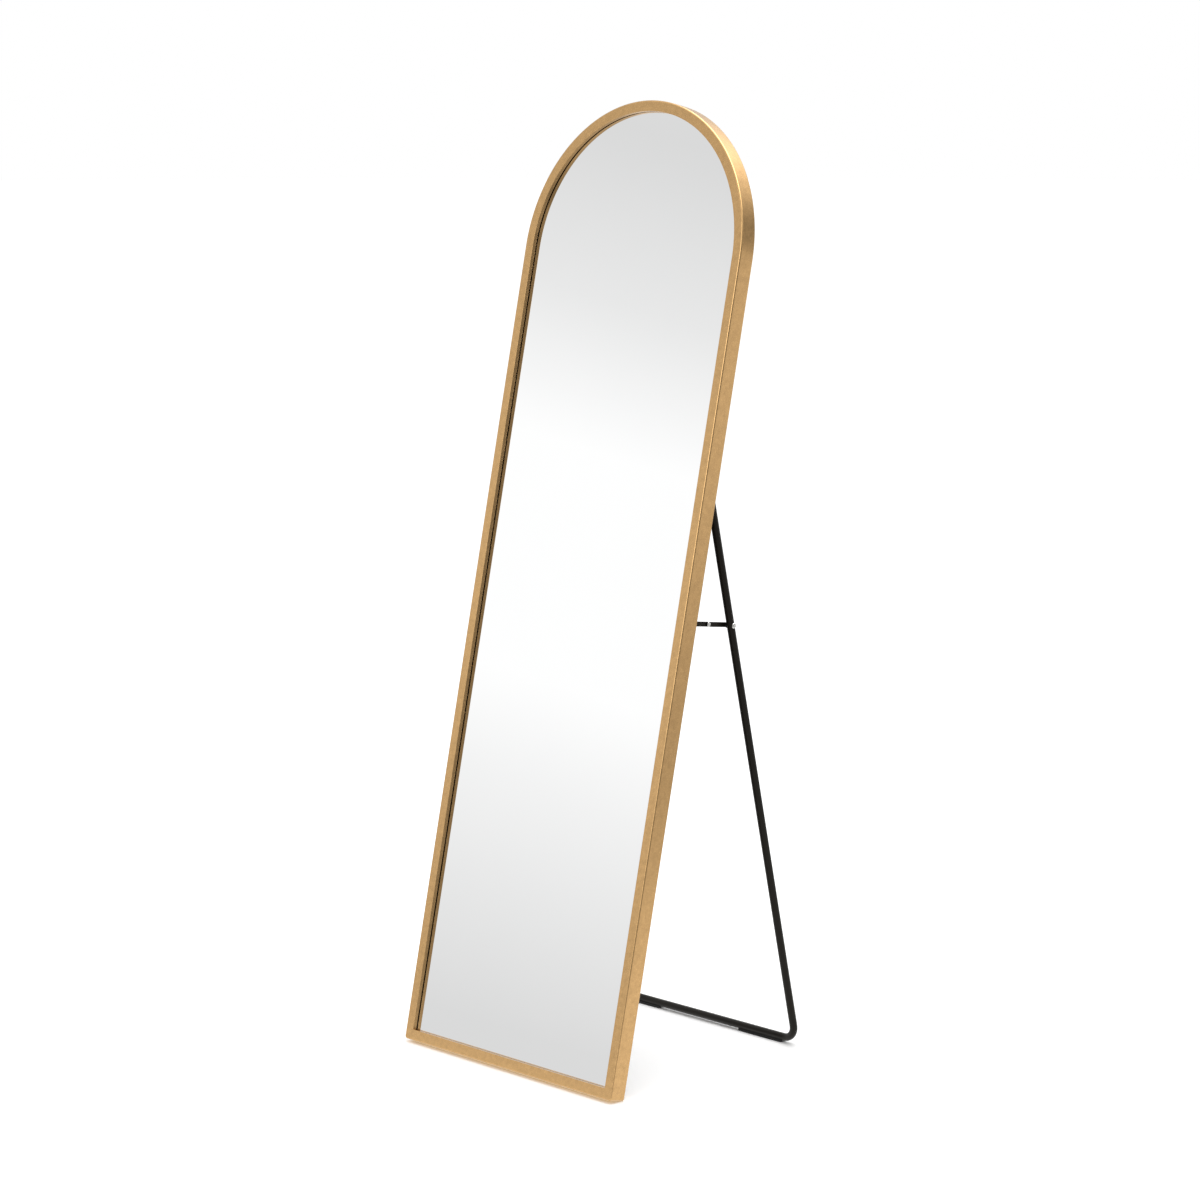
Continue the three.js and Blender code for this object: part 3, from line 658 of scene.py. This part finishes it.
def bent_sheet(name, foot_x, wall_x, sheet, high_y, half, corner=0.003):
    """An L of sheet: a foot from foot_x to wall_x, and a wall from the foot back to high_y."""
    low_y = hardware_seat
    piece = block(name, (foot_x, low_y, -half), (wall_x, low_y + sheet, half))
    only(piece)
    bpy.ops.object.mode_set(mode="EDIT")
    bpy.ops.mesh.select_all(action="SELECT")
    bpy.ops.mesh.bisect(plane_co=(wall_x - sheet, 0, 0), plane_no=(1, 0, 0))
    choose_faces(piece, lambda c, n: n.y > 0.99 and c.x > wall_x - sheet)
    bpy.ops.mesh.extrude_region_move(TRANSFORM_OT_translate={"value": (0, high_y - low_y - sheet, 0)})
    bpy.ops.object.mode_set(mode="OBJECT")

    def bend_at(x, y):
        return lambda a, b: all(meets(v.x, x) and meets(v.y, y) for v in (a, b))

    def free_corner(a, b):
        at_foot_end = meets(a.x, foot_x) and meets(b.x, foot_x)
        at_wall_end = meets(a.y, high_y) and meets(b.y, high_y)
        return meets(a.z, b.z) and meets(abs(a.z), half) and (at_foot_end or at_wall_end)

    round_edges(piece, bend_at(wall_x, low_y), sheet * 1.2, 5)
    round_edges(piece, bend_at(wall_x - sheet, low_y + sheet), sheet * 0.4, 3)
    round_edges(piece, free_corner, corner, 5)
    return piece


def stacked_turning(name, stations, sides=32):
    """A turned piece along x, drawn out station by station, each an x and a radius."""
    bpy.ops.object.select_all(action="DESELECT")
    x, radius = stations[0]
    bpy.ops.mesh.primitive_circle_add(
        vertices=sides, radius=radius, fill_type="NGON",
        location=(x, 0, 0), rotation=(0, -math.pi / 2, 0),
    )
    piece = bpy.context.object
    piece.name = name
    bpy.ops.object.transform_apply(location=True, rotation=True, scale=True)
    bpy.ops.object.mode_set(mode="EDIT")
    bpy.ops.mesh.select_all(action="SELECT")
    for new_x, new_radius in stations[1:]:
        bpy.ops.mesh.extrude_region_move(TRANSFORM_OT_translate={"value": (new_x - x, 0, 0)})
        ratio = new_radius / radius
        bpy.ops.transform.resize(value=(1, ratio, ratio), center_override=(new_x, 0, 0))
        x, radius = new_x, new_radius
    bpy.ops.object.mode_set(mode="OBJECT")
    outward(piece)
    return piece


def dome(x, radius, height, out):
    """Stations of a low domed head that starts at x and rises outwards, out being 1 or -1."""
    return [(x + out * height * s, radius * c) for s, c in (
        (0, 1), (0.30, 1), (0.52, 0.95), (0.72, 0.84), (0.87, 0.66), (0.96, 0.42), (1.0, 0.12),
    )]


def placed(piece, name, move):
    """A copy of a piece with a move given as a matrix."""
    twin = copy_of(piece, name)
    twin.data.transform(move)
    if move.determinant() < 0:
        twin.data.flip_normals()
    return twin


zinc = metal("zinc_plate", (0.50, 0.505, 0.50, 1), 0.34, stretch=(400, 400, 400),
             tone_scale=160, tone_amount=0.22, relief=0.000008)
clip = bent_sheet("board_clip", clip_seat - clip_foot, clip_seat, clip_sheet,
                  hardware_seat + clip_rise, clip_half)
ease(clip, 0.00015)
clip.data.materials.append(zinc)
smooth(clip)

# The screw points to +x; its pan head is drawn from the seat up, then the cross is cut in it.
head = stacked_turning("screw_head", [(screw_head - rise, radius) for rise, radius in (
    (0, 0.0036), (0.0005, 0.0036), (0.0010, 0.0034), (0.0015, 0.0029), (0.0019, 0.0021),
    (screw_head, 0.0011),
)])
recess_start, recess_end, recess_half, blade_half = -0.001, 0.0011, 0.0021, 0.00045
for half_y, half_z in ((blade_half, recess_half), (recess_half, blade_half)):
    carve(head, block("recess", (recess_start, -half_y, -half_z), (recess_end, half_y, half_z)))
shank = stacked_turning("screw_shank", [(screw_head, 0.0019), (0.0080, 0.0019), (0.0096, 0.0006)], 16)
screw = fuse([head, shank], "screw")
screw.data.materials.append(zinc)
smooth(screw)

mirror_x = Matrix.Diagonal((-1, 1, 1, 1))
clip_sites = {
    "side_1": Matrix.Translation((0, 0, stay_height / 2)),
    "side_2": Matrix.Translation((0, 0, (hinge_height + spring_height) / 2)),
    "bottom": Matrix.Translation((bottom_clip_x, 0, half_width)) @ Matrix.Rotation(math.pi / 2, 4, "Y"),
    "arch": Matrix.Translation((0, 0, spring_height)) @ Matrix.Rotation(-arch_clip_turn, 4, "Y"),
}
right_and_left = (("right", Matrix.Identity(4)), ("left", mirror_x))
clip_screw_place = Matrix.Translation((clip_seat - clip_sheet - screw_stand_off - screw_head, 0.0238, 0))
for where, site in clip_sites.items():
    for side, turn in right_and_left:
        for first, stem, move, slot_name in (
            (clip, "board_clip", site, "clip_steel"),
            (screw, "clip_screw", site @ clip_screw_place, "screw_steel"),
        ):
            piece = placed(first, f"plated_{stem}_{where}_{side}", turn @ move)
            lean_back(piece)
            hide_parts(f"{stem}_{where}_{side}")
bpy.data.objects.remove(clip)

# ---------------------------------------------------------------- hinge brackets and their pins
# Two brackets of folded steel stand behind the board against the side rails, powder coated black.
# The stand's legs turn on a steel pin between the two ears of each; two screws hold each bracket.
bracket_seat = 0.2407
bracket_sheet = 0.0018
bracket_half = 0.020
bracket_rise = 0.0115
ear_radius = 0.0075
ear_root = 0.0004
inner_ear_x = 0.2147
outer_ear_x = 0.2305
hinge_setback = 0.039


def coated(name, colour, second, roughness, relief):
    """A satin powder coat: an orange-peel surface with specks a shade lighter."""
    finish = bpy.data.materials.new(name)
    finish.use_nodes = True
    tree = finish.node_tree
    shader = tree.nodes["Principled BSDF"]
    place = node(tree, "TexCoord").outputs["Object"]
    peel = node(tree, "TexNoise", inputs={"Vector": place, "Scale": 1100.0, "Detail": 2.0})
    specks = node(tree, "TexNoise", inputs={
        "Vector": place, "Scale": 260.0, "Detail": 6.0, "Roughness": 0.7,
    })
    tint = node(tree, "Mix", {"data_type": "RGBA"}, {
        "Factor": specks.outputs["Fac"], "A": colour, "B": second,
    })
    sheen = node(tree, "MapRange", inputs={
        "Value": specks.outputs["Fac"], "From Min": 0.3, "From Max": 0.7,
        "To Min": roughness - 0.06, "To Max": roughness + 0.06,
    })
    bump = node(tree, "Bump", inputs={
        "Height": peel.outputs["Fac"], "Distance": relief, "Strength": 1.0,
    })
    tree.links.new(tint.outputs["Result"], shader.inputs["Base Color"])
    tree.links.new(sheen.outputs["Result"], shader.inputs["Roughness"])
    tree.links.new(bump.outputs["Normal"], shader.inputs["Normal"])
    shader.inputs["Specular IOR Level"].default_value = 0.2
    shader.inputs["Specular Tint"].default_value = (1.0, 0.93, 0.84, 1)
    return finish


powder_coat = coated(
    "black_powder_coat", (0.0045, 0.0038, 0.0029, 1), (0.0095, 0.0080, 0.0062, 1),
    roughness=0.40, relief=0.00002,
)


def bracket_ear(name, x):
    """A tongue with a round end that stands back from the bracket's base."""
    bpy.ops.object.select_all(action="DESELECT")
    bpy.ops.mesh.primitive_cylinder_add(
        vertices=48, radius=ear_radius, depth=bracket_sheet,
        location=(x + bracket_sheet / 2, hinge_setback, 0), rotation=(0, math.pi / 2, 0),
    )
    ear = bpy.context.object
    ear.name = name
    bpy.ops.object.transform_apply(location=True, rotation=True, scale=True)
    trim(ear, (0, hinge_setback, 0), (0, -1, 0))
    bpy.ops.object.mode_set(mode="EDIT")
    choose_faces(ear, lambda c, n: n.y < -0.99)
    bpy.ops.mesh.extrude_region_move(
        TRANSFORM_OT_translate={"value": (0, hardware_seat + ear_root - hinge_setback, 0)},
    )
    bpy.ops.object.mode_set(mode="OBJECT")
    outward(ear)
    ease(ear, 0.0002)
    return ear


nickel = metal("nickel_plate", (0.66, 0.655, 0.63, 1), 0.22, stretch=(500, 500, 500),
               tone_scale=220, tone_amount=0.10, relief=0.000004)
base = bent_sheet("hinge_base", inner_ear_x, bracket_seat, bracket_sheet,
                  hardware_seat + bracket_rise, bracket_half)
ease(base, 0.0002)
ears = [bracket_ear("inner_ear", inner_ear_x), bracket_ear("outer_ear", outer_ear_x)]
hinge_bracket = fuse([base] + ears, "hinge_bracket")
hinge_bracket.data.materials.append(powder_coat)
smooth(hinge_bracket)
pin_start, pin_end, pin_radius = inner_ear_x - 0.0003, outer_ear_x + bracket_sheet + 0.0003, 0.003
pin_head, pin_head_rise = 0.0045, 0.002
hinge_pin = stacked_turning(
    "hinge_pin",
    dome(pin_start, pin_head, pin_head_rise, -1)[::-1]
    + [(pin_start, pin_radius), (pin_end, pin_radius)]
    + dome(pin_end, pin_head, pin_head_rise, 1),
)
hinge_pin.data.materials.append(nickel)
smooth(hinge_pin)
bracket_screw_x = bracket_seat - bracket_sheet - screw_stand_off - screw_head
bracket_screw_place = Matrix.Translation((bracket_screw_x, 0.02385, 0))
bracket_screw_offset = 0.013

# ---------------------------------------------------------------- stay brackets and their rivets
# The same folded steel with a single ear, lower down, carries the frame end of each stay.
# A short rivet with low domed heads is the pivot.
stay_ear_x = 0.2090
link_sheet = 0.0018
rivet_gap = 0.0003
rivet_radius = 0.0022
frame_link_x = stay_ear_x + bracket_sheet + rivet_gap
leg_link_x = frame_link_x + link_sheet + rivet_gap
base = bent_sheet("stay_base", stay_ear_x, bracket_seat, bracket_sheet,
                  hardware_seat + bracket_rise, bracket_half)
ease(base, 0.0002)
stay_bracket = fuse([base, bracket_ear("stay_ear", stay_ear_x)], "stay_bracket")
stay_bracket.data.materials.append(powder_coat)
smooth(stay_bracket)


def riveted(name, inner_x, outer_x):
    """A stay's rivet: two low heads and the shank between them."""
    head_radius, head_rise = 0.004, 0.0011
    rivet = stacked_turning(
        name,
        dome(inner_x, head_radius, head_rise, -1)[::-1]
        + [(inner_x, rivet_radius), (outer_x, rivet_radius)]
        + dome(outer_x, head_radius, head_rise, 1),
    )
    rivet.data.materials.append(nickel)
    smooth(rivet)
    return rivet


stay_pin = riveted("stay_pin", stay_ear_x - rivet_gap, leg_link_x)
for height, bracket, pin, word in (
    (hinge_height, hinge_bracket, hinge_pin, "hinge"), (stay_height, stay_bracket, stay_pin, "stay"),
):
    level = Matrix.Translation((0, 0, height))
    parts = [
        (bracket, f"{word}_bracket", level, "black_coating"),
        (pin, f"{word}_pin", level @ Matrix.Translation((0, hinge_setback, 0)), "rivet_steel"),
    ]
    for number, offset in ((1, -bracket_screw_offset), (2, bracket_screw_offset)):
        spot = level @ Matrix.Translation((0, 0, offset)) @ bracket_screw_place
        parts.append((screw, f"{word}_screw_{number}", spot, "screw_steel"))
    for first, stem, move, slot_name in parts:
        for side, turn in right_and_left:
            piece = placed(first, f"made_{stem}_{side}", turn @ move)
            lean_back(piece)
            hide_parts(f"{stem}_{side}")
for first in (hinge_bracket, hinge_pin, stay_bracket, stay_pin, screw):
    bpy.data.objects.remove(first)

# ---------------------------------------------------------------- stand
# One 13 mm steel tube bent to a U: two legs and the crossbar on the floor, powder coated black.
# Nylon plugs close its open tops, and rubber pads under the ends of the crossbar grip the floor.
leg_x = 0.2235
tube_radius = 0.0065
tube_wall = 0.0012
leg_length = 0.972803
leg_top = 0.012
bend_radius = 0.028
leg_tilt = math.radians(12.7)


def turning_point(name):
    """Where the frame says that a joint turns."""
    return Vector(next(joint["pos_m"] for joint in frame["joints"] if joint["name"] == name))


stand_axis = turning_point("stand_fold")


def stand_up(piece):
    """Tilts a piece that was drawn with upright legs, hinge at the origin, and rides it on the stand."""
    only(piece)
    piece.rotation_euler = (leg_tilt, 0, 0)
    piece.location = stand_axis
    bpy.ops.object.transform_apply(location=True, rotation=True, scale=True)
    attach(piece, "stand")


bpy.ops.object.select_all(action="DESELECT")
bpy.ops.mesh.primitive_circle_add(
    vertices=40, radius=tube_radius, fill_type="NOTHING", location=(-leg_x, 0, leg_top),
)
tube = bpy.context.object
tube.name = "bent_tube"
bpy.ops.object.transform_apply(location=True, rotation=True, scale=True)
bpy.ops.object.mode_set(mode="EDIT")
bpy.ops.mesh.select_mode(type="VERT")
bpy.ops.mesh.select_all(action="SELECT")
straight = leg_length - bend_radius + leg_top
bpy.ops.mesh.extrude_region_move(TRANSFORM_OT_translate={"value": (0, 0, -straight)})
for side in (-1, 1):
    bpy.ops.mesh.spin(
        steps=20, angle=math.pi / 2, use_auto_merge=False, axis=(0, 1, 0),
        center=(side * (leg_x - bend_radius), 0, bend_radius - leg_length),
    )
    run = (2 * (leg_x - bend_radius), 0, 0) if side < 0 else (0, 0, straight)
    bpy.ops.mesh.extrude_region_move(TRANSFORM_OT_translate={"value": run})
bpy.ops.object.mode_set(mode="OBJECT")
outward(tube)
wall = tube.modifiers.new("wall", "SOLIDIFY")
wall.thickness = tube_wall
wall.offset = -1
only(tube)
bpy.ops.object.modifier_apply(modifier="wall")
tube.data.materials.append(powder_coat)
smooth(tube)
stand_up(tube)
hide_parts("u_stand")

nylon = coated(
    "black_nylon", (0.014, 0.014, 0.014, 1), (0.022, 0.022, 0.022, 1), roughness=0.52, relief=0.00001,
)
upright = Matrix.Rotation(-math.pi / 2, 4, "Y")
plug = stacked_turning("tube_plug", [
    (0.0073, 0.0043), (0.0081, 0.0050), (0.0123, 0.0050), (0.0123, 0.0064), (0.0129, 0.0065),
    (0.0135, 0.0062), (0.0139, 0.0054), (0.0142, 0.0036), (0.0143, 0.0012),
])
plug.data.materials.append(nylon)
smooth(plug)
for side, sign in (("right", 1), ("left", -1)):
    piece = placed(plug, f"nylon_plug_{side}", Matrix.Translation((sign * leg_x, 0, 0)) @ upright)
    stand_up(piece)
    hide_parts(f"tube_plug_{side}")
bpy.data.objects.remove(plug)

rubber = matt_board(
    "foot_rubber", (0.012, 0.012, 0.012, 1), (0.022, 0.022, 0.021, 1),
    scale=700, relief=0.00005, roughness=0.8,
)
pad_start, pad_end = 0.0955, 0.1955
pad_half, pad_rise, pad_under_tube = 0.0061, 0.0048, 0.0025
pad_clearance = 0.00005
crossbar_y = stand_axis.y + leg_length * math.sin(leg_tilt)
crossbar_z = tube_radius + pad_under_tube
pad = block(
    "foot_pad",
    (pad_start, crossbar_y - pad_half, 0), (pad_end, crossbar_y + pad_half, pad_rise),
)


def under_pad(a, b):
    """Whether an edge lies in the pad's underside."""
    return meets(a.z, 0) and meets(b.z, 0)


round_edges(pad, lambda a, b: under_pad(a, b) and meets(a.x, b.x), 0.0022, 4)
round_edges(pad, lambda a, b: under_pad(a, b) and meets(a.y, b.y), 0.0012, 4)
bpy.ops.object.select_all(action="DESELECT")
bpy.ops.mesh.primitive_cylinder_add(
    vertices=64, radius=tube_radius + pad_clearance, depth=pad_end - pad_start + 2 * cut_past,
    location=((pad_start + pad_end) / 2, crossbar_y, crossbar_z), rotation=(0, math.pi / 2, 0),
)
hollow = bpy.context.object
bpy.ops.object.transform_apply(location=True, rotation=True, scale=True)
carve(pad, hollow)
ease(pad, 0.0003)
pad.data.materials.append(rubber)
smooth(pad)
for side, turn in right_and_left:
    piece = placed(pad, f"rubber_pad_{side}", turn)
    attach(piece, "stand")
    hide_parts(f"foot_pad_{side}")
bpy.data.objects.remove(pad)

# ---------------------------------------------------------------- rivets and washers of the legs
# A domed rivet goes through each leg, with a nylon washer between the leg and the stay's link.
stay_drop = 0.230
washer_start = leg_link_x + link_sheet + rivet_gap
washer_end = washer_start + 0.0014
washer_radius, washer_edge = 0.0050, 0.0002
rivet_seat = leg_x + tube_radius + rivet_gap
leg_rivet = stacked_turning(
    "leg_rivet",
    [(washer_start, rivet_radius), (rivet_seat, rivet_radius)] + dome(rivet_seat, 0.0044, 0.002, 1),
)
leg_rivet.data.materials.append(nickel)
smooth(leg_rivet)
washer = stacked_turning("leg_washer", [
    (washer_start, washer_radius - 0.0003), (washer_start + washer_edge, washer_radius),
    (washer_end - washer_edge, washer_radius), (washer_end, washer_radius - 0.0003),
])
washer.data.materials.append(nylon)
smooth(washer)
for first, stem, slot_name in ((leg_rivet, "leg_rivet", "rivet_steel"), (washer, "leg_washer", "nylon")):
    for side, turn in right_and_left:
        piece = placed(first, f"made_{stem}_{side}", turn @ Matrix.Translation((0, 0, -stay_drop)))
        stand_up(piece)
        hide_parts(f"{stem}_{side}")
    bpy.data.objects.remove(first)

# ---------------------------------------------------------------- folding stays
# Each stay is two flat steel links, black, joined by a bright rivet at the knuckle.
# Opened, they lie in one line from the frame's bracket to the leg and stop the stand.
stay_tilt = math.radians(4.864885 - 12.1)
stay_axis = turning_point("stay_frame_fold_right")
link_half = 0.004
frame_link_length = 0.0549114
leg_link_length = 0.0419114


def open_out(piece, body):
    """Turns a piece drawn level, stay pivot at the origin, to the opened stay's slope."""
    only(piece)
    piece.rotation_euler = (stay_tilt, 0, 0)
    piece.location = (0, stay_axis.y, stay_axis.z)
    bpy.ops.object.transform_apply(location=True, rotation=True, scale=True)
    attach(piece, body)


def flat_link(name, x, start, length):
    """A flat bar with fully round ends."""
    end = start + length
    link = block(
        name,
        (x, start - link_half, -link_half), (x + link_sheet, end + link_half, link_half),
    )
    round_edges(link, lambda a, b: not meets(a.x, b.x), link_half * 0.998, 12)
    ease(link, 0.00025)
    link.data.materials.append(powder_coat)
    smooth(link)
    return link


frame_link = flat_link("frame_link", frame_link_x, 0, frame_link_length)
leg_link = flat_link("leg_link", leg_link_x, frame_link_length, leg_link_length)
knuckle = riveted("knuckle_rivet", frame_link_x - rivet_gap, leg_link_x + link_sheet + rivet_gap)
knuckle.data.transform(Matrix.Translation((0, frame_link_length, 0)))
for first, stem, body, slot_name in (
    (frame_link, "frame_link", "stay_frame", "black_coating"),
    (knuckle, "knuckle_rivet", "stay_frame", "rivet_steel"),
    (leg_link, "leg_link", "stay_leg", "black_coating"),
):
    for side, turn in right_and_left:
        piece = placed(first, f"made_{stem}_{side}", turn)
        open_out(piece, f"{body}_{side}")
        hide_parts(f"{stem}_{side}")
    bpy.data.objects.remove(first)
